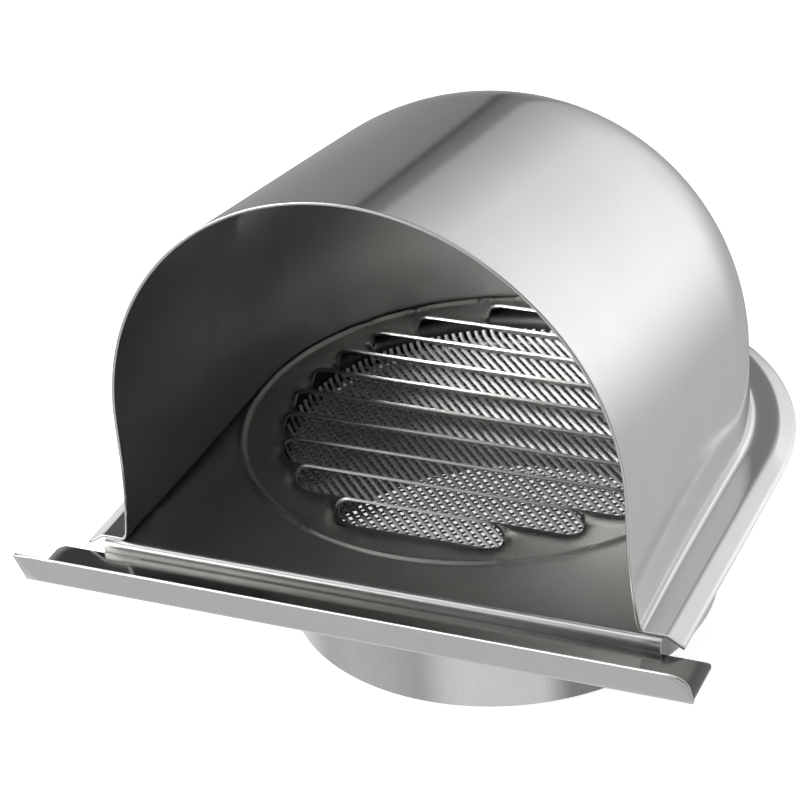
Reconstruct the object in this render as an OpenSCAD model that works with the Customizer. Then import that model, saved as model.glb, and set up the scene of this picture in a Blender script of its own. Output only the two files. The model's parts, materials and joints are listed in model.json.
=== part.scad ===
// Wall cowl vent in stainless sheet: drawn hood, louvred plate, insect mesh,
// spigot for a round duct and a drip strip. Millimetres.
// The origin is on the spigot axis, in the plane of the wall.
// +Z points out of the wall, -Y is the way the hood's mouth faces.
// Each module draws from the louvred plate's outer face and is lifted by plate_z.

/* [Sheet] */
// thickness of the hood, plate and spigot sheet
sheet_t = 0.6; // [0.4:0.1:1.2]
// thickness of the drip strip sheet
strip_t = 0.6; // [0.4:0.1:1.2]

/* [Hood] */
// outer radius of the dome and of the barrel that leads to the mouth
hood_r = 55; // [40:1:110]
// height of the dome's centre over the plate
dome_z = 17.65; // [8:0.05:40]
// upward tilt of the barrel towards the mouth, degrees
barrel_tilt = 9.75; // [0:0.25:20]
// distance from the spigot axis to the mouth's cut edge
mouth_y = 65.2; // [50:0.1:130]
// visible radius where the hood turns out into its rim
foot_r = 1.5; // [0.8:0.1:4]

/* [Rim] */
// half width of the rim, to the start of its edge bend
rim_r = 60.6; // [50:0.1:120]
// outer radius of the rim's edge bend
rim_bend = 2; // [1:0.1:4]
// slope of the rim's edge flange below the plate, degrees
flange_slope = 33; // [10:1:80]
// straight length of the rim's edge flange
flange_len = 3.6; // [1:0.1:10]

/* [Louvred plate] */
// half width of the louvred plate
plate_r = 60.2; // [48:0.1:118]
// distance from the spigot axis to the front fold's outer face
plate_y = 66.6; // [50:0.1:132]
// depth of the front fold below the plate's outer face
fold_depth = 2.8; // [2:0.1:8]
// outer radius of the front fold's bend
fold_bend = 1.5; // [0.8:0.1:3]
// radius of the pressed bead's centre line
bead_r = 54.5; // [40:0.1:110]
// height of the pressed bead
bead_h = 0.6; // [0.2:0.05:0.8]

/* [Louvres] */
// number of louvre slits
slit_count = 10; // [3:1:14]
// distance between slits
slit_pitch = 9.45; // [6:0.05:16]
// shift of the slit group towards the back of the hood
slit_shift = 1; // [-4:0.5:4]
// radius of the circle that the slit ends lie on
slit_r = 46.5; // [30:0.5:100]
// rise of each slit's back edge, and drop of its front edge
louvre_rise = 3.4; // [1:0.1:6]

/* [Spigot] */
// outer radius of the spigot that slips into the duct
spigot_r = 47.5; // [35:0.1:105]
// distance from the plate's outer face to the spigot's open end
spigot_len = 41; // [20:1:100]
// outer radius of the spigot's flange behind the plate
spigot_flange_r = 52.2; // [40:0.1:110]
// outer radius of the bend between the tube and its flange
spigot_bend = 1.6; // [0.8:0.1:4]

/* [Insect mesh] */
// distance between neighbouring wires
mesh_pitch = 1.7; // [1:0.1:4]
// wire diameter
mesh_wire = 0.6; // [0.2:0.05:1]
// distance from the plate's outer face to the mesh's middle plane
mesh_depth = 4.8; // [4:0.1:10]
// width of the flat hoop that carries the mesh
hoop_w = 2.4; // [1:0.1:5]
// thickness of the flat hoop
hoop_t = 0.8; // [0.4:0.1:2]

/* [Drip strip] */
// half width of the strip's leg
leg_half = 70.6; // [50:0.1:130]
// half width of the strip's lip
lip_half = 71.2; // [50:0.1:130]
// width of the leg in front of the plate's fold
leg_front = 13.6; // [8:0.1:30]
// width of the leg's tongue under the plate
tongue_w = 8; // [3:0.5:20]
// half length of the leg's tongue under the plate
tongue_half = 52; // [20:1:110]
// rounding of the leg's rear corners
leg_corner = 3.5; // [0.5:0.5:8]
// height of the lip's free edge over the plate's outer face
lip_top = 5.5; // [1:0.1:20]
// lean of the lip away from the hood, degrees from square
lip_lean = 24; // [0:1:60]
// outer radius of the bend between leg and lip
lip_bend = 1.6; // [0.8:0.1:4]
// rounding of the lip's upper corners
lip_corner = 1.5; // [0.5:0.5:6]

/* [Welds] */
// radius of a spot weld
spot_r = 1.4; // [1:0.1:3]
// number of spot welds round the rim's arc
rim_spots = 9; // [5:2:15]
// number of spot welds along each straight side of the rim
side_spots = 3; // [1:1:6]
// number of spot welds round the spigot's flange
spigot_spots = 12; // [6:1:24]
// number of stitch welds along the drip strip
stitch_count = 5; // [3:1:9]
// length of each stitch weld
stitch_len = 9; // [4:1:20]

/* [Hidden] */
$fn = 144;
stainless = [0.74, 0.74, 0.73];
dark_stainless = [0.55, 0.55, 0.54];
weld_grey = [0.48, 0.47, 0.46];
// the barrel is a hair thinner than the dome, so that they meet in a clean step
seam = 0.02;
// the foot's bend is centred outside the wall and above the rim
foot_cx = hood_r + foot_r;
foot_cz = sheet_t + foot_r;
// the side walls end on the line where the barrel's side is upright
barrel_rise = mouth_y * tan(barrel_tilt);
first_slit = slit_shift + slit_pitch * (slit_count - 1) / 2;
wire_count = floor(2 * (spigot_r - sheet_t) / mesh_pitch);
wire_r_limit = spigot_r - sheet_t - 0.1;
leg_top = -fold_depth;
leg_bottom = leg_top - strip_t;
lip_angle = 90 - lip_lean;
fold_face = plate_y - sheet_t;
// height of the louvred plate's outer face over the wall
plate_z = fold_depth + strip_t;

// part of an annulus between two angles, centred on (cx, cz)
module arc_band(cx, cz, ro, ri, a0, a1) {
  far = 3 * ro;
  mid = (a0 + a1) / 2;
  translate([cx, cz])
    intersection() {
      difference() {
        circle(r = ro);
        circle(r = ri);
      }
      polygon([[0, 0], [far * cos(a0), far * sin(a0)], [far * cos(mid), far * sin(mid)],
               [far * cos(a1), far * sin(a1)]]);
    }
}

// straight strip of sheet that leaves a bend where the bend's normal has this angle
module strip_band(cx, cz, ro, ri, angle, length) {
  translate([cx, cz])
    rotate(angle - 90)
      translate([0, ri])
        square([length, ro - ri]);
}

// section through the hood's wall, foot bend, rim and edge flange
module hood_edge_section() {
  translate([hood_r - sheet_t, foot_cz])
    square([sheet_t, dome_z - foot_cz]);
  arc_band(foot_cx, foot_cz, foot_r + sheet_t, foot_r, 180, 270);
  translate([foot_cx, 0])
    square([rim_r - foot_cx, sheet_t]);
  arc_band(rim_r, sheet_t - rim_bend, rim_bend, rim_bend - sheet_t, 90 - flange_slope, 90);
  strip_band(rim_r, sheet_t - rim_bend, rim_bend, rim_bend - sheet_t, 90 - flange_slope,
             flange_len);
}

// places its children in the tilted barrel's own frame, centred in the dome
module in_barrel_frame() {
  translate([0, 0, dome_z])
    rotate([-barrel_tilt, 0, 0])
      children();
}

// everything behind the plane where the dome hands over to the barrel
module behind_barrel() {
  in_barrel_frame()
    translate([-2 * hood_r, 0, -2 * hood_r])
      cube([4 * hood_r, 4 * hood_r, 4 * hood_r]);
}

// everything above the plane through the barrel's axis, where its sides are upright
module above_barrel_axis() {
  in_barrel_frame()
    translate([-2 * hood_r, -4 * hood_r, 0])
      cube([4 * hood_r, 8 * hood_r, 4 * hood_r]);
}

// half tube that leads from the dome to the mouth
module barrel() {
  intersection() {
    difference() {
      in_barrel_frame()
        rotate([90, 0, 0])
          translate([0, 0, -10])
            difference() {
              cylinder(r = hood_r - seam, h = 2 * mouth_y);
              translate([0, 0, -1])
                cylinder(r = hood_r - sheet_t + seam, h = 2 * mouth_y + 2);
            }
      behind_barrel();
    }
    above_barrel_axis();
    translate([-2 * hood_r, -mouth_y, 0])
      cube([4 * hood_r, 6 * hood_r, 6 * hood_r]);
  }
}

// one straight side of the wall, foot, rim and edge flange
module hood_side() {
  difference() {
    rotate([90, 0, 0])
      linear_extrude(height = mouth_y) {
        hood_edge_section();
        translate([hood_r - sheet_t, dome_z])
          square([sheet_t, barrel_rise + 5]);
      }
    above_barrel_axis();
  }
}

// round back of the wall and rim, with the dome up to where the barrel takes over
module hood_back() {
  intersection() {
    rotate_extrude(angle = 180) {
      hood_edge_section();
      arc_band(0, dome_z, hood_r, hood_r - sheet_t, 0, 90 - barrel_tilt / 2);
    }
    behind_barrel();
  }
}

module hood() {
  color(stainless)
    translate([0, 0, plate_z]) {
      hood_back();
      hood_side();
      mirror([1, 0, 0])
        hood_side();
      barrel();
    }
}

// half length of slit k, on the circle of slit ends
function slit_y(k) = first_slit - k * slit_pitch;
function slit_half(k) = sqrt(pow(slit_r, 2) - pow(slit_y(k) - slit_shift, 2));

// the two half slats that meet at one slit, with the webs that close their ends
module louvre(k) {
  y = slit_y(k);
  l = slit_half(k);
  half = slit_pitch / 2;
  translate([-l, y, 0])
    rotate([90, 0, 90])
      linear_extrude(height = 2 * l)
        polygon([[0, louvre_rise], [half, 0], [half, -sheet_t], [0, louvre_rise - sheet_t]]);
  translate([-l, y, 0])
    rotate([90, 0, 90])
      linear_extrude(height = 2 * l)
        polygon([[0, -louvre_rise], [-half, 0], [-half, -sheet_t], [0, -louvre_rise - sheet_t]]);
  for (x = [-l, l - sheet_t])
    translate([x, y, 0])
      rotate([90, 0, 90])
        linear_extrude(height = sheet_t) {
          polygon([[0, louvre_rise], [half, 0], [half, -sheet_t], [0, -sheet_t]]);
          polygon([[0, -louvre_rise - sheet_t], [-half, -sheet_t], [-half, 0], [0, 0]]);
        }
}

// outline of the louvred plate up to its front bend
module plate_outline() {
  intersection() {
    circle(r = plate_r);
    translate([-2 * plate_r, 0])
      square([4 * plate_r, 2 * plate_r]);
  }
  translate([-plate_r, -(plate_y - fold_bend)])
    square([2 * plate_r, plate_y - fold_bend]);
}

// centres of the spot welds that hold the rim on the plate
module at_rim_spots() {
  r = (foot_cx + plate_r) / 2;
  for (i = [0 : rim_spots - 1])
    rotate(180 * (i + 0.5) / rim_spots)
      translate([r, 0])
        children();
  for (s = [-1, 1])
    for (i = [0 : side_spots - 1])
      translate([s * r, -(mouth_y - 10) * (i + 0.5) / side_spots])
        children();
}

module louvred_plate() {
  color(dark_stainless)
    translate([0, 0, plate_z]) {
      difference() {
        translate([0, 0, -sheet_t])
          linear_extrude(height = sheet_t)
            difference() {
              plate_outline();
              at_rim_spots() circle(r = spot_r);
              for (k = [0 : slit_count - 1])
                translate([-slit_half(k), slit_y(k) - slit_pitch / 2])
                  square([2 * slit_half(k), slit_pitch]);
            }
        rotate_extrude()
          translate([bead_r, bead_h - 1])
            circle(r = 1 - sheet_t);
      }
      rotate_extrude()
        difference() {
          translate([bead_r, bead_h - 1]) circle(r = 1);
          translate([bead_r, bead_h - 1]) circle(r = 1 - sheet_t);
          translate([bead_r - 2, -4]) square([4, 4]);
        }
      for (k = [0 : slit_count - 1])
        louvre(k);
      translate([plate_r, -(plate_y - fold_bend), 0])
        rotate([90, 0, -90])
          linear_extrude(height = 2 * plate_r) {
            arc_band(0, -fold_bend, fold_bend, fold_bend - sheet_t, 0, 90);
            translate([fold_bend - sheet_t, -fold_depth])
              square([sheet_t, fold_depth - fold_bend]);
          }
    }
}

module rim_spot_welds() {
  color(weld_grey)
    translate([0, 0, plate_z - sheet_t])
      linear_extrude(height = sheet_t)
        at_rim_spots() circle(r = spot_r);
}

// centres of the spot welds that hold the spigot's flange on the plate
module at_spigot_spots() {
  r = (spigot_r + spigot_bend + spigot_flange_r) / 2;
  for (i = [0 : spigot_spots - 1])
    rotate(360 * (i + 0.5) / spigot_spots)
      translate([r, 0])
        children();
}

module spigot() {
  top = -sheet_t;
  bend_in = spigot_bend;
  color(stainless)
    translate([0, 0, plate_z])
      difference() {
        rotate_extrude() {
          translate([spigot_r - sheet_t, -spigot_len])
            square([sheet_t, spigot_len + top - sheet_t - bend_in]);
          arc_band(spigot_r + bend_in, top - sheet_t - bend_in, bend_in + sheet_t, bend_in,
                   90, 180);
          translate([spigot_r + bend_in, top - sheet_t])
            square([spigot_flange_r - spigot_r - bend_in, sheet_t]);
        }
        translate([0, 0, top - 2 * sheet_t])
          linear_extrude(height = 3 * sheet_t)
            at_spigot_spots() circle(r = spot_r / 2);
      }
}

module spigot_spot_welds() {
  color(weld_grey)
    translate([0, 0, plate_z - 2 * sheet_t])
      linear_extrude(height = sheet_t)
        at_spigot_spots() circle(r = spot_r / 2);
}

// parallel wires across the spigot, in a layer at height z
module wire_layer(z, turn) {
  for (i = [0 : wire_count - 1]) {
    off = (i - (wire_count - 1) / 2) * mesh_pitch;
    half = sqrt(max(pow(wire_r_limit, 2) - pow(abs(off) + mesh_wire / 2, 2), 1));
    rotate(turn)
      translate([off, half, z])
        rotate([90, 0, 0])
          cylinder(r = mesh_wire / 2, h = 2 * half, $fn = 24);
  }
}

module mesh_warp_wires() {
  color(stainless)
    wire_layer(plate_z - mesh_depth + mesh_wire / 2, 45);
}

module mesh_weft_wires() {
  color(stainless)
    wire_layer(plate_z - mesh_depth - mesh_wire / 2, -45);
}

module mesh_hoop() {
  color(stainless)
    translate([0, 0, plate_z - mesh_depth - mesh_wire])
      rotate_extrude()
        translate([spigot_r - sheet_t - hoop_w, -hoop_t])
          square([hoop_w, hoop_t]);
}

// outline of the strip's leg, from its tongue to the start of the lip's bend
module leg_outline() {
  bend_y = -(plate_y + leg_front - lip_bend);
  translate([-tongue_half, -(plate_y + 1)])
    square([2 * tongue_half, tongue_w + 1]);
  translate([-leg_half, bend_y])
    square([2 * leg_half, leg_front - lip_bend - leg_corner]);
  translate([-leg_half + leg_corner, bend_y])
    square([2 * (leg_half - leg_corner), leg_front - lip_bend]);
  for (s = [-1, 1])
    translate([s * (leg_half - leg_corner), -(plate_y + leg_corner)])
      circle(r = leg_corner);
}

// face outline of the lip with its rounded upper corners
module lip_outline(height) {
  translate([-lip_half, 0])
    square([2 * lip_half, height - lip_corner]);
  translate([-(lip_half - lip_corner), 0])
    square([2 * (lip_half - lip_corner), height]);
  for (s = [-1, 1])
    translate([s * (lip_half - lip_corner), height - lip_corner])
      circle(r = lip_corner);
}

module drip_strip() {
  bend_y = -(plate_y + leg_front - lip_bend);
  bend_z = leg_bottom + lip_bend;
  length = (lip_top - bend_z + lip_bend * cos(lip_angle)) / sin(lip_angle);
  color(stainless)
    translate([0, 0, plate_z]) {
      translate([0, 0, leg_bottom])
        linear_extrude(height = strip_t)
          leg_outline();
      translate([lip_half, bend_y, bend_z])
        rotate([90, 0, -90])
          linear_extrude(height = 2 * lip_half)
            arc_band(0, 0, lip_bend, lip_bend - strip_t, -90, -90 + lip_angle);
      translate([0, bend_y, bend_z])
        rotate([180 - lip_angle, 0, 0])
          translate([0, 0, lip_bend - strip_t])
            linear_extrude(height = strip_t)
              lip_outline(length);
    }
}

// quarter round beads in the corner between the fold's back and the leg
module drip_stitch_welds() {
  step = 2 * tongue_half / stitch_count;
  color(weld_grey)
    for (i = [0 : stitch_count - 1])
      translate([-tongue_half + step * (i + 0.5) - stitch_len / 2, -fold_face, plate_z + leg_top])
        rotate([90, 0, 90])
          linear_extrude(height = stitch_len)
            intersection() {
              circle(r = 1.4);
              square([2, 2]);
            }
}

hood();
louvred_plate();
rim_spot_welds();
spigot();
spigot_spot_welds();
mesh_warp_wires();
mesh_weft_wires();
mesh_hoop();
drip_strip();
drip_stitch_welds();
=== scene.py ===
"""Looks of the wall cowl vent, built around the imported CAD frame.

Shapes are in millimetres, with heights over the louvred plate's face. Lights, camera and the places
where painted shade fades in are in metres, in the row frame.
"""
import json
import math

import bmesh
import bpy
from mathutils import Matrix, Vector
from mathutils.geometry import delaunay_2d_cdt


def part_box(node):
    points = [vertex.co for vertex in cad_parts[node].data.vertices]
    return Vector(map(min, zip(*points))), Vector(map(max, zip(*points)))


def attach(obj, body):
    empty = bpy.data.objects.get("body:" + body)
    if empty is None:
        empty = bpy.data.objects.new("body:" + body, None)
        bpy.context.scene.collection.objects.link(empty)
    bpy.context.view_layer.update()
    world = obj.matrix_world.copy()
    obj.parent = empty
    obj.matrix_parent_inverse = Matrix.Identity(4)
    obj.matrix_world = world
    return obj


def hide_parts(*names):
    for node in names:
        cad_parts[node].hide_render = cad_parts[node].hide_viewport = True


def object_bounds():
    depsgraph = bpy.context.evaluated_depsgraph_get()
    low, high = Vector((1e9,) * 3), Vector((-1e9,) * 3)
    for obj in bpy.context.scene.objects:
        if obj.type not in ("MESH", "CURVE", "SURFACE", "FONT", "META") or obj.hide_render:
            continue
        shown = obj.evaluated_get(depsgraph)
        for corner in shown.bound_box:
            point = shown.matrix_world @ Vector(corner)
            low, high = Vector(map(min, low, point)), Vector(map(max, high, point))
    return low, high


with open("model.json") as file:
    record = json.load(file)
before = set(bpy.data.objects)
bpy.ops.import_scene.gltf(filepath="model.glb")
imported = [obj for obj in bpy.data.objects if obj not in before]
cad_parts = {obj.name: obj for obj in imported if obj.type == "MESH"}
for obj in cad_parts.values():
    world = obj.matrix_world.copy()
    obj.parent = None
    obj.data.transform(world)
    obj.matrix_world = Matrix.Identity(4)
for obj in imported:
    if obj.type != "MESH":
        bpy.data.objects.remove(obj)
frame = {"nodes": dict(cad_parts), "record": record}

CAD_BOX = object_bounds()
MM = 0.001

# ---------------------------------------------------------------- sizes, in millimetres
HOOD_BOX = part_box("hood")
PLATE_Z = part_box("rim_spot_welds")[1].z / MM
SPIGOT_R = next(m for m in frame["record"]["mounts"] if m["name"] == "spigot_od")["dims"]["r_mm"]
SPIGOT_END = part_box("spigot")[0].z / MM - PLATE_Z

SHEET = 0.6
HOOD_R = 55.0
DOME_Z = 17.65
TILT = math.radians(9.75)
MOUTH_Y = -HOOD_BOX[0].y / MM
FOOT_R = 1.5
RIM_R = 60.6
RIM_BEND = 2.0
FLANGE_SLOPE = math.radians(33)
FLANGE_LEN = 3.6
MOUTH_NARROW = 0.014
MOUTH_FLARE = 1.7
FLARE_TOP = 20.0

PLATE_R = 60.2
PLATE_Y = 66.6
FOLD_DEPTH = 2.8
FOLD_BEND = 1.5
BEAD_R = 54.5
BEAD_H = 0.75
BEAD_W = 1.1
SLIT_COUNT = 10
SLIT_PITCH = 9.45
SLIT_SHIFT = 1.0
SLIT_R = 46.5
LOUVRE_RISE = 3.4
LOUVRE_END_R = 3.4
LOUVRE_END_SOFTER = 3.0
LOUVRE_END_WIDER = 1.6
LOUVRE_DISH = 0.92

SPIGOT_BEND = 1.6
SPIGOT_FLANGE_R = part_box("spigot")[1].x / MM

MESH_PITCH = 1.7
MESH_DEPTH = 4.8
MESH_DISH = 2.0
MESH_GAP = 0.12
MESH_MARGIN = 0.8
WARP_WIRE = 0.88
WARP_OVER = 0.24
WARP_CRIMP = 0.06
WEFT_WIRE = 0.56
WEFT_OVER = -0.26
WEFT_CRIMP = 0.12

LEG_HALF = 70.6
LIP_HALF = 71.2
LEG_FRONT = 13.6
TONGUE_W = 8.0
TONGUE_HALF = 52.0
LEG_CORNER_LEFT = 2.0
LEG_CORNER_RIGHT = 1.0
LIP_TOP = 5.5
LIP_ANGLE = math.radians(66)
LIP_BEND = 1.6
LIP_CORNER_LEFT = 0.8
LIP_CORNER_RIGHT = 4.0

# two places closer than this, in metres, count as one
SAME_PLACE = 2e-6


# ---------------------------------------------------------------- mesh helpers
def to_frame(point):
    """A point over the plate's face, in mm, as a point of the row frame in metres."""
    return Vector((point[0], point[1], point[2] + PLATE_Z)) * MM


def new_object(name, points, faces):
    mesh = bpy.data.meshes.new(name)
    mesh.from_pydata([to_frame(p) for p in points], [], faces)
    mesh.validate()
    mesh.update()
    obj = bpy.data.objects.new(name, mesh)
    bpy.context.scene.collection.objects.link(obj)
    return obj


def apply_modifiers(obj):
    graph = bpy.context.evaluated_depsgraph_get()
    baked = bpy.data.meshes.new_from_object(obj.evaluated_get(graph))
    obj.modifiers.clear()
    old = obj.data
    obj.data = baked
    baked.name = obj.name
    bpy.data.meshes.remove(old)


def shade(obj, sharp=40):
    for polygon in obj.data.polygons:
        polygon.use_smooth = True
    obj.data.set_sharp_from_angle(angle=math.radians(sharp))


def outward(obj, toward):
    """Turns the faces one way, so that most of their area looks along the given direction."""
    bm = bmesh.new()
    bm.from_mesh(obj.data)
    bmesh.ops.remove_doubles(bm, verts=bm.verts, dist=0.01 * MM)
    bmesh.ops.recalc_face_normals(bm, faces=bm.faces)
    score = sum(f.normal.dot(toward(f.calc_center_median())) * f.calc_area() for f in bm.faces)
    if score < 0:
        bmesh.ops.reverse_faces(bm, faces=bm.faces)
    bm.to_mesh(obj.data)
    bm.free()


def make_sheet(obj, toward, thickness=SHEET, round_edge=0.14, back_slot=0):
    """Gives a surface its sheet thickness, away from the side that it shows, and breaks its cut edges."""
    outward(obj, toward)
    solid = obj.modifiers.new("sheet", "SOLIDIFY")
    solid.thickness = thickness * MM
    solid.offset = -1
    solid.use_even_offset = True
    solid.use_quality_normals = True
    solid.material_offset = back_slot
    bevel = obj.modifiers.new("edge", "BEVEL")
    bevel.width = round_edge * MM
    bevel.segments = 2
    bevel.limit_method = "ANGLE"
    bevel.angle_limit = math.radians(60)
    weighted = obj.modifiers.new("normals", "WEIGHTED_NORMAL")
    weighted.keep_sharp = True
    weighted.weight = 60
    apply_modifiers(obj)


def grid_faces(rows):
    """Quads between neighbouring rows of point numbers."""
    faces = []
    for low, high in zip(rows, rows[1:]):
        for j in range(len(low) - 1):
            face = [low[j], low[j + 1], high[j + 1], high[j]]
            face = [v for i, v in enumerate(face) if v not in face[:i]]
            if len(face) > 2:
                faces.append(face)
    return faces


def arc(cx, cz, r, a0, a1, steps):
    """Points on an arc between two angles in degrees."""
    angles = [math.radians(a0 + (a1 - a0) * i / steps) for i in range(steps + 1)]
    return [(cx + r * math.cos(a), cz + r * math.sin(a)) for a in angles]


def spaced(a, b, step):
    """Evenly spaced numbers from a to b, about a step apart."""
    count = max(1, round(abs(b - a) / step))
    return [a + (b - a) * i / count for i in range(count + 1)]


# ---------------------------------------------------------------- hood
def edge_profile():
    """From the flange's free edge over the rim and the foot bend to the wall, as (distance, height)."""
    cz = SHEET - RIM_BEND
    slope = math.degrees(FLANGE_SLOPE)
    bend = arc(RIM_R, cz, RIM_BEND, 90 - slope, 90, 6)
    start = bend[0]
    out = (math.cos(FLANGE_SLOPE), -math.sin(FLANGE_SLOPE))
    flange = [(start[0] + out[0] * s, start[1] + out[1] * s)
              for s in spaced(FLANGE_LEN, 0, 1.2)[:-1]]
    foot_x = HOOD_R + FOOT_R
    flat = [(x, SHEET) for x in spaced(RIM_R, foot_x, 1.0)[1:-1]]
    foot = arc(foot_x, SHEET + FOOT_R, FOOT_R, 270, 180, 8)
    return flange + bend + flat + foot


def shell_reach(direction):
    """Distance from the dome's centre to the dome, or to the barrel where a ray runs in front of it."""
    axis = Vector((0, -math.cos(TILT), math.sin(TILT)))
    along = direction.dot(axis)
    if along > 0:
        return HOOD_R / math.sqrt(1 - along * along)
    return HOOD_R


def mouth_shape(x, y, z):
    """Draws the side walls in a little towards the mouth, and lets them flare at the foot."""
    near = max(0.0, -y / MOUTH_Y)
    f = near ** 1.6
    side = 1 if x > 0 else -1
    ease = 1.0 if abs(x) <= HOOD_R else max(0.0, 1 - (abs(x) - HOOD_R) / FOOT_R)
    x -= MOUTH_NARROW * f * x * ease
    if z < FLARE_TOP:
        x += side * MOUTH_FLARE * near ** 2.5 * ease * ((FLARE_TOP - z) / FLARE_TOP) ** 2
    return (x, y, z)


def build_hood():
    edge = edge_profile()
    wall_steps = 9
    arch_steps = 40
    thetas = [math.radians(90 * i / arch_steps) for i in range(arch_steps + 1)]
    points, faces = [], []

    def wall(top):
        bottom = SHEET + FOOT_R
        return [bottom + (top - bottom) * i / wall_steps for i in range(1, wall_steps)]

    def half_front(y):
        centre = DOME_Z - y * math.tan(TILT)
        half = [(r, y, z) for r, z in edge]
        half += [(HOOD_R, y, z) for z in wall(centre)]
        for t in thetas:
            reach = HOOD_R / math.sqrt(1 - (math.sin(t) * math.sin(TILT)) ** 2)
            half.append((reach * math.cos(t), y, centre + reach * math.sin(t)))
        return half

    def half_back(phi):
        c, s = math.cos(phi), math.sin(phi)
        half = [(r * c, r * s, z) for r, z in edge]
        half += [(HOOD_R * c, HOOD_R * s, z) for z in wall(DOME_Z)]
        for t in thetas:
            d = Vector((math.cos(t) * c, math.cos(t) * s, math.sin(t)))
            d = d * shell_reach(d)
            half.append((d.x, d.y, DOME_Z + d.z))
        return half

    stations = [-MOUTH_Y, -MOUTH_Y + 0.8] + spaced(-MOUTH_Y + 2.4, 0, 2.4)
    turns = [math.radians(90 * i / 36) for i in range(1, 37)]
    for side in (1, -1):
        rows = []
        halves = [half_front(y) for y in stations] + [half_back(phi) for phi in turns]
        for half in halves:
            row = []
            for x, y, z in half:
                row.append(len(points))
                points.append(mouth_shape(side * x, y, z))
            rows.append(row)
        faces += grid_faces(rows)
    obj = new_object("hood_shell", points, faces)
    centre = to_frame((0, 0, DOME_Z))

    def away(p):
        low = p.z < to_frame((0, 0, 1.5)).z
        return Vector((0, 0, 1)) if low else (p - centre).normalized()

    # the hood's inside takes the inside material, which carries painted shade on its left side
    assign(obj, polished, inside_steel)
    make_sheet(obj, away, back_slot=1)
    shade(obj, 35)
    return obj


# ---------------------------------------------------------------- louvred plate
def slit_y(k):
    return SLIT_SHIFT + SLIT_PITCH * ((SLIT_COUNT - 1) / 2 - k)


def slit_half(k):
    return math.sqrt(SLIT_R ** 2 - (slit_y(k) - SLIT_SHIFT) ** 2)


def end_fade(k, x, t):
    """How far a slit's lip has risen at x, at a share t of the pitch away from the slit."""
    if not 0 <= k < SLIT_COUNT:
        return 0.0
    q = (slit_half(k) + LOUVRE_END_WIDER * t - abs(x)) / (LOUVRE_END_R + LOUVRE_END_SOFTER * t)
    q = min(1.0, max(0.0, q))
    round_end = math.sqrt(1 - (1 - q) ** 2)
    soft_end = q * q * (3 - 2 * q)
    return round_end * (1 - t) + soft_end * t


def lip_decay(t, neighbour):
    """Height left at a share t of the pitch: straight towards a neighbouring slit, else a soft dish."""
    dish = max(0.0, 1 - t / LOUVRE_DISH) ** 2
    return dish * (1 - neighbour) + (1 - t) * neighbour


def plate_height(x, y):
    """Height of the pressed plate between its slits."""
    z = 0.0
    for k in range(SLIT_COUNT):
        t = (y - slit_y(k)) / SLIT_PITCH
        if 0 < t < 1:
            z += LOUVRE_RISE * end_fade(k, x, t) * lip_decay(t, end_fade(k - 1, x, 1 - t))
        if -1 < t < 0:
            z -= LOUVRE_RISE * end_fade(k, x, -t) * lip_decay(-t, end_fade(k + 1, x, 1 + t))
    r = math.hypot(x, y)
    if abs(r - BEAD_R) < BEAD_W:
        z += BEAD_H * (0.5 + 0.5 * math.cos(math.pi * (r - BEAD_R) / BEAD_W))
    return z


def plate_outline():
    front = -(PLATE_Y - FOLD_BEND)
    right = [(PLATE_R, y) for y in spaced(front, 0, 3.5)]
    back = [(PLATE_R * math.cos(a), PLATE_R * math.sin(a))
            for a in [math.radians(3 * i) for i in range(1, 60)]]
    left = [(-PLATE_R, y) for y in spaced(0, front, 3.5)]
    base = [(x, front) for x in spaced(-PLATE_R, PLATE_R, 4.0)[1:-1]]
    return right + back + left + base


def slit_stations(k):
    """Places along a slit, closer together towards its two ends."""
    half = slit_half(k)
    ends = [0.12, 0.4, 0.9, 1.6, 2.5]
    inner = spaced(-half + LOUVRE_END_R, half - LOUVRE_END_R, 2.2)
    return [-half] + [-half + e for e in ends] + inner + [half - e for e in ends[::-1]] + [half]


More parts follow.
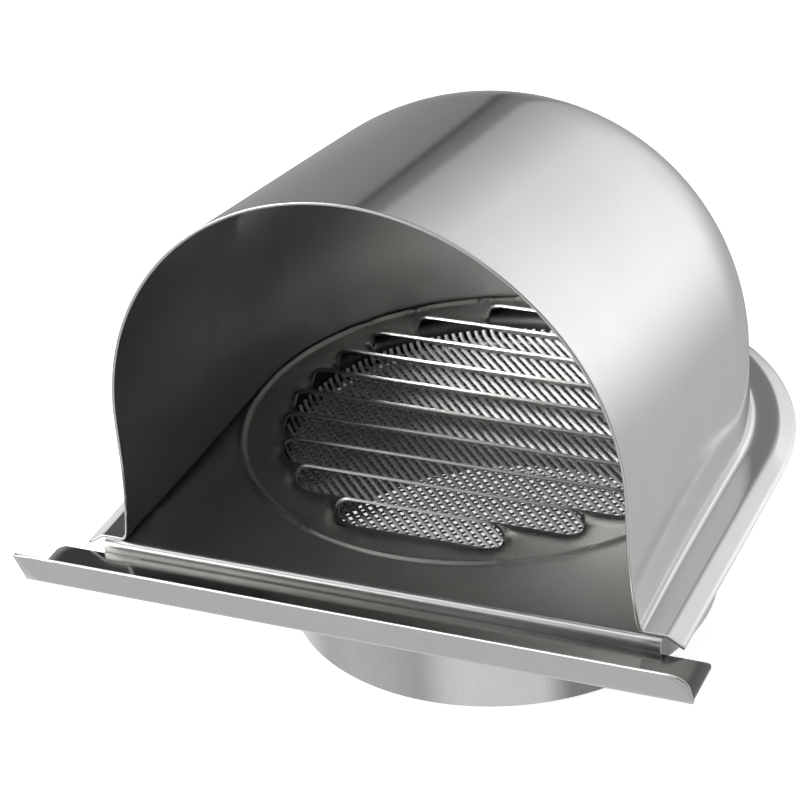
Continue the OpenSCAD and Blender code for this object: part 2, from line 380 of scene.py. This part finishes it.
def build_plate():
    outline = plate_outline()
    points = [Vector(p) for p in outline]
    edges = [(i, (i + 1) % len(outline)) for i in range(len(outline))]

    def add(x, y):
        points.append(Vector((x, y)))
        return len(points) - 1

    for k in range(SLIT_COUNT):
        chain = [add(x, slit_y(k)) for x in slit_stations(k)]
        edges += list(zip(chain, chain[1:]))
    for k in range(-1, SLIT_COUNT):
        near = [j for j in (k, k + 1) if 0 <= j < SLIT_COUNT]
        reach = max(slit_half(j) for j in near) + 4.0
        for share in (0.12, 0.3, 0.5, 0.7, 0.88):
            y = SLIT_SHIFT + SLIT_PITCH * ((SLIT_COUNT - 1) / 2 - k - share)
            for x in spaced(-reach, reach, 1.5):
                add(x, y)
    for r in [BEAD_R + BEAD_W * s for s in (-1.3, -1, -0.66, -0.33, 0, 0.33, 0.66, 1, 1.3)]:
        for i in range(180):
            a = math.radians(2 * i)
            add(r * math.cos(a), r * math.sin(a))
    # a few points in the plate's front corners, outside the bead
    for x in spaced(-57, 57, 6):
        for y in spaced(-62, -52, 5):
            if math.hypot(x, y) > BEAD_R + 3:
                add(x, y)
    border = list(range(len(outline)))
    made = delaunay_2d_cdt(points, edges, [border], 1, 1e-4)
    verts, faces = made[0], made[2]
    obj = new_object("louvre_plate", [(v.x, v.y, plate_height(v.x, v.y)) for v in verts], faces)

    bm = bmesh.new()
    bm.from_mesh(obj.data)
    cuts = []
    for k in range(SLIT_COUNT):
        y, half = slit_y(k) * MM, slit_half(k) * MM
        for e in bm.edges:
            if all(abs(v.co.y - y) < SAME_PLACE and abs(v.co.x) < half + SAME_PLACE for v in e.verts):
                cuts.append(e)
    bmesh.ops.split_edges(bm, edges=cuts)
    for v in bm.verts:
        for k in range(SLIT_COUNT):
            y, half = slit_y(k) * MM, slit_half(k) * MM
            if abs(v.co.y - y) > SAME_PLACE or abs(v.co.x) > half - SAME_PLACE:
                continue
            behind = sum(f.calc_center_median().y - v.co.y for f in v.link_faces) > 0
            lift = LOUVRE_RISE * end_fade(k, v.co.x / MM, 0.0)
            v.co.z = to_frame((0, 0, lift if behind else -lift)).z
    front = -(PLATE_Y - FOLD_BEND)
    fold = [e for e in bm.edges
            if e.is_boundary and all(abs(v.co.y - front * MM) < SAME_PLACE for v in e.verts)]
    sweep = arc(-front, -FOLD_BEND, FOLD_BEND, 90, 0, 6)[1:]
    sweep += [(PLATE_Y, z) for z in (-FOLD_BEND - 0.6, -FOLD_DEPTH)]
    for y, z in sweep:
        out = bmesh.ops.extrude_edge_only(bm, edges=fold)["geom"]
        fold = [g for g in out if isinstance(g, bmesh.types.BMEdge)]
        for v in {v for e in fold for v in e.verts}:
            v.co.y = -y * MM
            v.co.z = to_frame((0, 0, z)).z
    bm.to_mesh(obj.data)
    bm.free()

    def up(p):
        return Vector((0, -1, 0)) if p.y < (front - 1) * MM else Vector((0, 0, 1))

    # the plate takes the darkened plate material, painted shade; its front fold takes the lighter fold
    # material, painted light
    assign(obj, plate_shaded_steel, fold_steel)
    make_sheet(obj, up, round_edge=0.12)
    for polygon in obj.data.polygons:
        if polygon.center.y < front * MM:
            polygon.material_index = 1
    shade(obj, 45)
    return obj


# ---------------------------------------------------------------- insect mesh
def dish_rise(radius, wall):
    """Height of the mesh over its flat middle, where its edge turns up to the spigot wall."""
    q = max(0.0, (radius - wall + MESH_DISH) / MESH_DISH)
    return MESH_DISH * (1 - math.sqrt(1 - q * q))


def wire_path(off, turn, number, wire, over, crimp):
    """One wire's centre line: straight seen from above, woven, with turned-up ends."""
    wall = SPIGOT_R - SHEET - wire / 2
    half = math.sqrt((wall - MESH_GAP) ** 2 - off ** 2)
    c, s = math.cos(turn), math.sin(turn)
    path = []
    for run in spaced(-half, half, MESH_PITCH / 4):
        height = over + crimp * math.cos(math.pi * (run / MESH_PITCH + number))
        height += dish_rise(math.hypot(run, off), wall)
        path.append(Vector((c * run - s * off, s * run + c * off, height)))
    return path


def build_wires(name, turn, wire, over, crimp):
    """One family of the mesh: parallel wires that go over and under the other family."""
    count = math.floor(2 * (SPIGOT_R - SHEET - MESH_MARGIN) / MESH_PITCH)
    sides = 6
    points, faces = [], []
    for i in range(count):
        path = wire_path((i - (count - 1) / 2) * MESH_PITCH, turn, i, wire, over, crimp)
        rings = []
        for j, centre in enumerate(path):
            along = (path[min(len(path) - 1, j + 1)] - path[max(0, j - 1)]).normalized()
            across = along.cross(Vector((0, 0, 1))).normalized()
            upward = across.cross(along)
            ring = []
            for m in range(sides):
                a = 2 * math.pi * (m + 0.5) / sides
                p = centre + (across * math.cos(a) + upward * math.sin(a)) * (wire / 2)
                ring.append(len(points))
                points.append((p.x, p.y, p.z - MESH_DEPTH))
            rings.append(ring)
        for low, high in zip(rings, rings[1:]):
            for m in range(sides):
                n = (m + 1) % sides
                faces.append((low[m], low[n], high[n], high[m]))
        faces.append(tuple(reversed(rings[0])))
        faces.append(tuple(rings[-1]))
    obj = new_object(name, points, faces)
    bm = bmesh.new()
    bm.from_mesh(obj.data)
    bmesh.ops.recalc_face_normals(bm, faces=bm.faces)
    bm.to_mesh(obj.data)
    bm.free()
    shade(obj, 75)
    return obj


# ---------------------------------------------------------------- turned pieces
def turned(name, profile, steps=144):
    """A closed profile of (radius, height) turned about the spigot axis."""
    points, faces = [], []
    for i in range(steps):
        a = 2 * math.pi * i / steps
        for r, z in profile:
            points.append((r * math.cos(a), r * math.sin(a), z))
    n = len(profile)
    for i in range(steps):
        base, other = i * n, ((i + 1) % steps) * n
        for j in range(n):
            k = (j + 1) % n
            faces.append((base + j, base + k, other + k, other + j))
    obj = new_object(name, points, faces)
    bm = bmesh.new()
    bm.from_mesh(obj.data)
    bmesh.ops.recalc_face_normals(bm, faces=bm.faces)
    bm.to_mesh(obj.data)
    bm.free()
    shade(obj, 40)
    return obj


def build_spigot():
    top = -SHEET
    under = top - SHEET
    bend_z = under - SPIGOT_BEND
    cx = SPIGOT_R + SPIGOT_BEND
    lip = 0.15
    outer = [(SPIGOT_FLANGE_R, under + lip), (SPIGOT_FLANGE_R - lip, under)]
    outer += arc(cx, bend_z, SPIGOT_BEND, 90, 180, 6)
    outer += [(SPIGOT_R, z) for z in spaced(bend_z, SPIGOT_END + lip, 6)[1:]]
    outer += [(SPIGOT_R - lip, SPIGOT_END), (SPIGOT_R - SHEET + lip, SPIGOT_END)]
    inner = [(SPIGOT_R - SHEET, z) for z in spaced(SPIGOT_END + lip, bend_z, 6)]
    inner += arc(cx, bend_z, SPIGOT_BEND + SHEET, 180, 90, 6)[1:]
    inner += [(SPIGOT_FLANGE_R - lip, top), (SPIGOT_FLANGE_R, top - lip)]
    obj = turned("spigot_tube", outer + inner)
    assign(obj, polished, spigot_shaded_steel)
    # inner and upward faces take the near-black material: painted shade
    for polygon in obj.data.polygons:
        inward = math.hypot(polygon.center.x, polygon.center.y) < (SPIGOT_R - SHEET / 2) * MM
        if inward or polygon.normal.z > 0.2:
            polygon.material_index = 1
    return obj


# ---------------------------------------------------------------- drip strip
def corner_cut(distance, radius):
    """How far a rounded corner draws the side in, at a distance from the end."""
    if distance >= radius:
        return 0.0
    return radius - math.sqrt(radius ** 2 - (radius - distance) ** 2)


def build_strip():
    leg_top = -FOLD_DEPTH
    leg_low = leg_top - SHEET
    rear = -PLATE_Y
    bend_y = -(PLATE_Y + LEG_FRONT - LIP_BEND)
    bend_z = leg_low + LIP_BEND
    inner_r = LIP_BEND - SHEET
    lip_len = (LIP_TOP - bend_z + LIP_BEND * math.cos(LIP_ANGLE)) / math.sin(LIP_ANGLE)
    rows = [(rear + TONGUE_W, leg_top, None, None), (rear + 4, leg_top, None, None)]
    for d in (0, 0.1, 0.3, 0.6, LEG_CORNER_RIGHT, 1.5, LEG_CORNER_LEFT, 3.5, 6, 9):
        rows.append((rear - d, leg_top, LEG_HALF - corner_cut(d, LEG_CORNER_LEFT),
                     LEG_HALF - corner_cut(d, LEG_CORNER_RIGHT)))
    for y, z in arc(bend_y, bend_z, inner_r, 270, 270 - math.degrees(LIP_ANGLE), 6):
        share = (z - bend_z + inner_r) / (inner_r * (1 - math.cos(LIP_ANGLE)))
        side = LEG_HALF + (LIP_HALF - LEG_HALF) * min(1, share)
        rows.append((y, z, side, side))
    y0, z0 = rows[-1][0], rows[-1][1]
    run = (-math.cos(LIP_ANGLE), math.sin(LIP_ANGLE))
    marks = [0.5, 0.35, 0.22, 0.12, 0.05, 0]
    falls = sorted({LIP_CORNER_RIGHT * m * 2 for m in marks}
                   | {LIP_CORNER_LEFT * m * 2 for m in marks}
                   | set(spaced(LIP_CORNER_RIGHT, lip_len, 1.6)[:-1]), reverse=True)
    for fall in falls:
        s = lip_len - fall
        rows.append((y0 + run[0] * s, z0 + run[1] * s,
                     LIP_HALF - corner_cut(fall, LIP_CORNER_LEFT),
                     LIP_HALF - corner_cut(fall, LIP_CORNER_RIGHT)))
    inner = spaced(-TONGUE_HALF, TONGUE_HALF, 4)
    points, numbers = [], []
    for y, z, left, right in rows:
        xs = list(inner)
        if left is not None:
            xs = [-left + (left - TONGUE_HALF) * j / 6 for j in range(6)] + xs
            xs += [TONGUE_HALF + (right - TONGUE_HALF) * j / 6 for j in range(1, 7)]
        row = []
        for x in xs:
            row.append(len(points))
            points.append((x, y, z))
        numbers.append(row)
    faces = grid_faces([numbers[0], numbers[1]])
    faces += grid_faces([numbers[1], numbers[2][6:-6]])
    faces += grid_faces(numbers[2:])
    obj = new_object("drip_sheet", points, faces)
    assign(obj, strip_steel, leg_shaded_steel)
    # the leg, behind the lip's bend, takes the darkened material: painted shade
    for polygon in obj.data.polygons:
        if polygon.center.y > bend_y * MM:
            polygon.material_index = 1
    make_sheet(obj, lambda p: Vector((0, 0.5, 1)))
    shade(obj, 35)
    return obj


# ---------------------------------------------------------------- materials
class Nodes:
    """A small helper to build a node material."""

    def __init__(self, name):
        self.material = bpy.data.materials.new(name)
        self.material.use_nodes = True
        self.tree = self.material.node_tree
        self.shader = self.tree.nodes["Principled BSDF"]
        self.where = self.add("ShaderNodeTexCoord").outputs["Object"]

    def add(self, kind, **settings):
        node = self.tree.nodes.new(kind)
        for key, value in settings.items():
            if key in node.inputs:
                node.inputs[key].default_value = value
            else:
                setattr(node, key, value)
        return node

    def link(self, a, b):
        self.tree.links.new(a, b)

    def scaled(self, scale):
        node = self.add("ShaderNodeMapping")
        node.inputs["Scale"].default_value = scale
        self.link(self.where, node.inputs["Vector"])
        return node.outputs["Vector"]

    def noise(self, vector, scale, detail=3.0, rough=0.55):
        node = self.add("ShaderNodeTexNoise")
        node.inputs["Scale"].default_value = scale
        node.inputs["Detail"].default_value = detail
        node.inputs["Roughness"].default_value = rough
        self.link(vector, node.inputs["Vector"])
        return node.outputs["Fac"]

    def ranged(self, value, low, high, from_low=0.3, from_high=0.7):
        node = self.add("ShaderNodeMapRange")
        node.inputs["From Min"].default_value = from_low
        node.inputs["From Max"].default_value = from_high
        node.inputs["To Min"].default_value = low
        node.inputs["To Max"].default_value = high
        self.link(value, node.inputs["Value"])
        return node.outputs["Result"]

    def math(self, operation, a, b):
        node = self.add("ShaderNodeMath", operation=operation)
        for socket, value in zip(node.inputs, (a, b)):
            if isinstance(value, (int, float)):
                socket.default_value = value
            else:
                self.link(value, socket)
        return node.outputs["Value"]

    def mix(self, factor, a, b):
        node = self.add("ShaderNodeMix", data_type="RGBA")
        self.link(factor, node.inputs["Factor"])
        for socket, value in ((node.inputs[6], a), (node.inputs[7], b)):
            if isinstance(value, tuple):
                socket.default_value = (*value, 1)
            else:
                self.link(value, socket)
        return node.outputs[2]

    def bump(self, height, strength, distance):
        node = self.add("ShaderNodeBump")
        node.inputs["Strength"].default_value = strength
        node.inputs["Distance"].default_value = distance
        self.link(height, node.inputs["Height"])
        self.link(node.outputs["Normal"], self.shader.inputs["Normal"])


# how much finer the grain is along each axis: it runs along the axis that has the least
GRAIN_ALONG_X = (1, 14, 14)
GRAIN_ALONG_Z = (14, 14, 1)
NO_GRAIN = (1, 1, 1)
# colour of the painted shade that steel() fades in along x, as a share of the sheet's darker tone
PAINTED_SHADE_TONE = 0.18


def steel(name, light, dark, rough_low, rough_high, grain=GRAIN_ALONG_X, grain_scale=10,
          bump=0.10, metallic=1.0, shade_fade=None):
    """Stainless sheet: grain along one direction, cloudy gloss, fine scuffs and faint smudges.

    The last keyword gives the two x positions, in metres, between which painted shade fades out: darkest at
    the first, untouched from the second on.
    """
    n = Nodes(name)
    n.shader.inputs["Metallic"].default_value = metallic
    fine = n.noise(n.scaled(grain), grain_scale * 25, 2.0)
    broad = n.noise(n.scaled(tuple(0.12 * g for g in grain)), grain_scale * 12, 2.0)
    cloud = n.noise(n.scaled((1, 1, 1)), 38, 3.0, 0.5)
    smudge = n.noise(n.scaled((1, 1, 1)), 210, 4.0, 0.6)
    tone = n.math("ADD", n.math("MULTIPLY", fine, 0.45), n.math("MULTIPLY", cloud, 0.55))
    colour = n.mix(n.ranged(tone, 0, 1, 0.35, 0.65), dark, light)
    # painted shade: the base colour darkened towards one side along x
    if shade_fade:
        split = n.add("ShaderNodeSeparateXYZ")
        n.link(n.where, split.inputs["Vector"])
        painted_shade_mask = n.ranged(split.outputs["X"], 0, 1, *shade_fade)
        colour = n.mix(painted_shade_mask, tuple(PAINTED_SHADE_TONE * c for c in dark), colour)
    n.link(colour, n.shader.inputs["Base Color"])
    rough = n.math("ADD", n.math("MULTIPLY", broad, 0.4), n.math("MULTIPLY", cloud, 0.35))
    rough = n.math("ADD", rough, n.math("MULTIPLY", smudge, 0.25))
    n.link(n.ranged(rough, rough_low, rough_high), n.shader.inputs["Roughness"])
    height = n.math("ADD", fine, n.math("MULTIPLY", broad, 0.6))
    n.bump(height, bump, 0.00004)
    return n.material


def assign(obj, *materials):
    obj.data.materials.clear()
    for material in materials:
        obj.data.materials.append(material)


# ---------------------------------------------------------------- stage
def add_floor(z):
    mesh = bpy.data.meshes.new("floor")
    bm = bmesh.new()
    bmesh.ops.create_grid(bm, x_segments=4, y_segments=4, size=6.0)
    bm.to_mesh(mesh)
    bm.free()
    floor = bpy.data.objects.new("floor", mesh)
    floor.location.z = z
    bpy.context.scene.collection.objects.link(floor)
    n = Nodes("floor_paint")
    n.shader.inputs["Base Color"].default_value = (0.86, 0.86, 0.86, 1)
    n.shader.inputs["Roughness"].default_value = 0.9
    n.shader.inputs["Specular IOR Level"].default_value = 0.1
    n.shader.inputs["Emission Color"].default_value = (1, 1, 1, 1)
    n.shader.inputs["Emission Strength"].default_value = 0.75
    floor.visible_glossy = False
    floor.visible_diffuse = False
    assign(floor, n.material)


def add_softbox(name, place, aim, width, height, watts, spread=180):
    light = bpy.data.lights.new(name, "AREA")
    light.shape = "RECTANGLE"
    light.size = width
    light.size_y = height
    light.energy = watts
    light.spread = math.radians(spread)
    obj = bpy.data.objects.new(name, light)
    obj.location = place
    obj.rotation_euler = (Vector(aim) - Vector(place)).to_track_quat("-Z", "Y").to_euler()
    bpy.context.scene.collection.objects.link(obj)


# brightness of the studio in reflections, by direction round the object: 0 is the back, 90 the right,
# in degrees
STUDIO_BELOW = [(-180, 0.88), (-168, 0.80), (-154, 0.50), (-135, 0.60), (-111, 0.66),
                (-90, 0.60), (-60, 0.95), (-39, 0.95), (-35, 0.36), (-20, 0.38), (0, 0.50), (20, 0.60),
                (32, 0.68), (45, 0.70), (60, 0.30), (125, 0.30), (140, 0.85), (180, 0.88)]
STUDIO_LEVEL = [(-180, 0.3), (-168, 1.0), (-135, 1.0), (-120, 0.7), (-75, 0.7), (-60, 0.95), (-42, 0.95),
                (33, 1.5), (38, 0.7), (60, 0.5), (75, 0.3), (90, 0.1), (165, 0.05), (180, 0.3)]
STUDIO_BACK = [(-45, 0.95), (-38, 0.95), (-35, 0.32), (-26, 0.29), (-21.3, 0.26), (-20.9, 0.11),
               (-19.9, 0.11), (-19.6, 0.18), (-16.5, 0.26), (-15.6, 0.46), (-8, 0.68), (0, 0.95),
               (10, 1.10), (20, 1.3), (33, 1.5), (38, 0.7), (45, 0.65)]
STUDIO_ABOVE = [(-180, 0.05), (-90, 0.08), (-45, 0.10), (-26, 0.15), (0, 0.50), (26, 1.05), (60, 0.7),
                (90, 0.3), (180, 0.05)]
STUDIO_TOP = [(-180, 0.9), (-140, 0.9), (-120, 2.6), (-55, 2.6), (-35, 0.9), (180, 0.9)]
# where one ring gives way to the next, as a direction's height from -1, straight down, to 1, straight up
LEVEL_RISE = (-0.38, 0.02)
ABOVE_RISE = (0.37, 0.46)
TOP_RISE = (0.75, 0.90)


def add_world():
    """White where the camera looks past the object; a soft studio in every reflection."""
    world = bpy.data.worlds.new("studio")
    bpy.context.scene.world = world
    world.use_nodes = True
    tree = world.node_tree
    tree.nodes.clear()
    link = tree.links.new

    def node(kind, **settings):
        made = tree.nodes.new(kind)
        for key, value in settings.items():
            setattr(made, key, value)
        return made

    coord = node("ShaderNodeTexCoord")
    split = node("ShaderNodeSeparateXYZ")
    link(coord.outputs["Generated"], split.inputs["Vector"])
    angle = node("ShaderNodeMath", operation="ARCTAN2")
    link(split.outputs["X"], angle.inputs[0])
    link(split.outputs["Y"], angle.inputs[1])

    def ring(stops):
        """Brightness by direction round the object, between the first and the last stop."""
        first, last = stops[0][0], stops[-1][0]
        turn = node("ShaderNodeMapRange")
        turn.inputs["From Min"].default_value = math.radians(first)
        turn.inputs["From Max"].default_value = math.radians(last)
        link(angle.outputs["Value"], turn.inputs["Value"])
        ramp = node("ShaderNodeValToRGB")
        elements = ramp.color_ramp.elements
        top = max(v for a, v in stops)
        while len(elements) < len(stops):
            elements.new(0.5)
        for element, (a, v) in zip(elements, stops):
            element.position = (a - first) / (last - first)
            element.color = (v / top, v / top, v / top, 1)
        link(turn.outputs["Result"], ramp.inputs["Fac"])
        glow = node("ShaderNodeBackground")
        glow.inputs["Strength"].default_value = top
        link(ramp.outputs["Color"], glow.inputs["Color"])
        return glow.outputs["Background"]

    def mixed(factor, under, over):
        mix = node("ShaderNodeMixShader")
        link(factor, mix.inputs["Fac"])
        link(under, mix.inputs[1])
        link(over, mix.inputs[2])
        return mix.outputs["Shader"]

    behind = node("ShaderNodeMath", operation="COMPARE")
    behind.inputs[1].default_value = 0.0
    behind.inputs[2].default_value = math.radians(STUDIO_BACK[-1][0])
    link(angle.outputs["Value"], behind.inputs[0])
    level = mixed(behind.outputs["Value"], ring(STUDIO_LEVEL), ring(STUDIO_BACK))

    around = ring(STUDIO_BELOW)
    above, top = ring(STUDIO_ABOVE), ring(STUDIO_TOP)
    for (low, high), glow in ((LEVEL_RISE, level), (ABOVE_RISE, above), (TOP_RISE, top)):
        rise = node("ShaderNodeMapRange", interpolation_type="SMOOTHSTEP")
        rise.inputs["From Min"].default_value = low
        rise.inputs["From Max"].default_value = high
        link(split.outputs["Z"], rise.inputs["Value"])
        around = mixed(rise.outputs["Result"], around, glow)
    white = node("ShaderNodeBackground")
    white.inputs["Color"].default_value = (1, 1, 1, 1)
    path = node("ShaderNodeLightPath")
    out = node("ShaderNodeOutputWorld")
    link(mixed(path.outputs["Is Camera Ray"], around, white.outputs["Background"]), out.inputs["Surface"])


CAMERA_PLACE = (0.21082, -0.48442, 0.32191)
CAMERA_RIGHT = (0.91697, 0.39172, -0.07567)
CAMERA_BACK = (0.37349, -0.77614, 0.50805)
CAMERA_LENS = 128.54
CAMERA_SHIFT = (0.00196, 0.00155)


def add_camera():
    data = bpy.data.cameras.new("camera")
    data.sensor_width = 36.0
    data.lens = CAMERA_LENS
    data.shift_x, data.shift_y = CAMERA_SHIFT
    data.clip_start = 0.01
    camera = bpy.data.objects.new("camera", data)
    right = Vector(CAMERA_RIGHT).normalized()
    back = Vector(CAMERA_BACK).normalized()
    up = back.cross(right).normalized()
    right = up.cross(back)
    turn = Matrix((right, up, back)).transposed().to_4x4()
    camera.matrix_world = Matrix.Translation(CAMERA_PLACE) @ turn
    bpy.context.scene.collection.objects.link(camera)
    bpy.context.scene.camera = camera


# ---------------------------------------------------------------- build
# The object is one kind of stainless sheet. The darker materials of the leg, the plate and the spigot's
# inside, and the shade faded in along x, are painted shade; the lighter fold is painted light. This studio
# gives neither.
polished = steel("polished_steel", (0.66, 0.66, 0.65), (0.61, 0.61, 0.60), 0.07, 0.14,
                 grain=GRAIN_ALONG_Z, bump=0.06)
# inside of the hood: painted shade darkens its left side, fading out between x -0.054 m and 0.032 m
inside_steel = steel("inside_steel", (0.84, 0.84, 0.83), (0.70, 0.70, 0.69), 0.42, 0.54,
                     grain=GRAIN_ALONG_Z, shade_fade=(-0.054, 0.032))
strip_steel = steel("strip_steel", (0.66, 0.66, 0.65), (0.60, 0.60, 0.59), 0.12, 0.18)
# louvred plate: the whole base colour is darkened, painted shade, with more painted shade on its right
# side, fading out between x 0.066 m and -0.01 m
plate_shaded_steel = steel("plate_shaded_steel", (0.33, 0.32, 0.31), (0.26, 0.25, 0.24), 0.32, 0.44,
                    bump=0.2, shade_fade=(0.066, -0.01))
# leg of the drip strip: a darkened copy of the strip's steel, painted shade
leg_shaded_steel = steel("leg_shaded_steel", (0.27, 0.27, 0.26), (0.20, 0.20, 0.19), 0.14, 0.20)
# front fold: the plate's own sheet kept lighter than the plate, painted light
fold_steel = steel("fold_steel", (0.60, 0.60, 0.59), (0.52, 0.52, 0.51), 0.26, 0.34)
# inside and upward faces of the spigot: a near-black copy of the steel, painted shade
spigot_shaded_steel = steel("spigot_shaded_steel", (0.10, 0.10, 0.10), (0.07, 0.07, 0.07), 0.50, 0.62,
                   grain=GRAIN_ALONG_Z)
# upper wire family: near-white and barely metallic, painted light standing in for the wires' highlights
warp_lit_steel = steel("warp_lit_steel", (0.92, 0.92, 0.92), (0.84, 0.84, 0.84), 0.46, 0.56,
                   grain=NO_GRAIN, grain_scale=30, metallic=0.1)
# lower wire family: a dark copy of the same wire, painted shade
weft_shaded_steel = steel("weft_shaded_steel", (0.30, 0.30, 0.30), (0.22, 0.22, 0.22), 0.34, 0.46,
                   grain=NO_GRAIN, grain_scale=30)
weld_steel = steel("weld_steel", (0.46, 0.44, 0.42), (0.30, 0.29, 0.29), 0.40, 0.60,
                   grain=NO_GRAIN, grain_scale=30, bump=0.3)

hood = build_hood()
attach(hood, "root")
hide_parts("hood")

plate = build_plate()
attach(plate, "root")
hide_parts("louvred_plate")

warp = build_wires("mesh_warp", math.radians(-45), WARP_WIRE, WARP_OVER, WARP_CRIMP)
weft = build_wires("mesh_weft", math.radians(45), WEFT_WIRE, WEFT_OVER, WEFT_CRIMP)
# the two families are one kind of wire: the upper one carries painted light, the lower one painted shade
for piece, node, material in ((warp, "mesh_warp_wires", warp_lit_steel), (weft, "mesh_weft_wires", weft_shaded_steel)):
    assign(piece, material)
    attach(piece, "root")
    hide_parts(node)

spigot = build_spigot()
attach(spigot, "root")
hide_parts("spigot")

strip = build_strip()
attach(strip, "root")
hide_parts("drip_strip")

for node in ("rim_spot_welds", "spigot_spot_welds", "drip_stitch_welds"):
    assign(frame["nodes"][node], weld_steel)
assign(frame["nodes"]["mesh_hoop"], polished)

add_floor(CAD_BOX[0].z)
add_world()
add_camera()
add_softbox("front_left", place=(-1.0, -0.9, 0.55), aim=(0, -0.02, 0.02),
            width=0.9, height=0.9, watts=14)
# inside the hood, for the mouth's view: not part of the object
add_softbox("inner_left", place=(-0.046, -0.020, 0.045), aim=(0.03, 0.05, 0.052),
            width=0.03, height=0.03, watts=0.15, spread=100)

scene = bpy.context.scene
scene.view_settings.view_transform = "Standard"
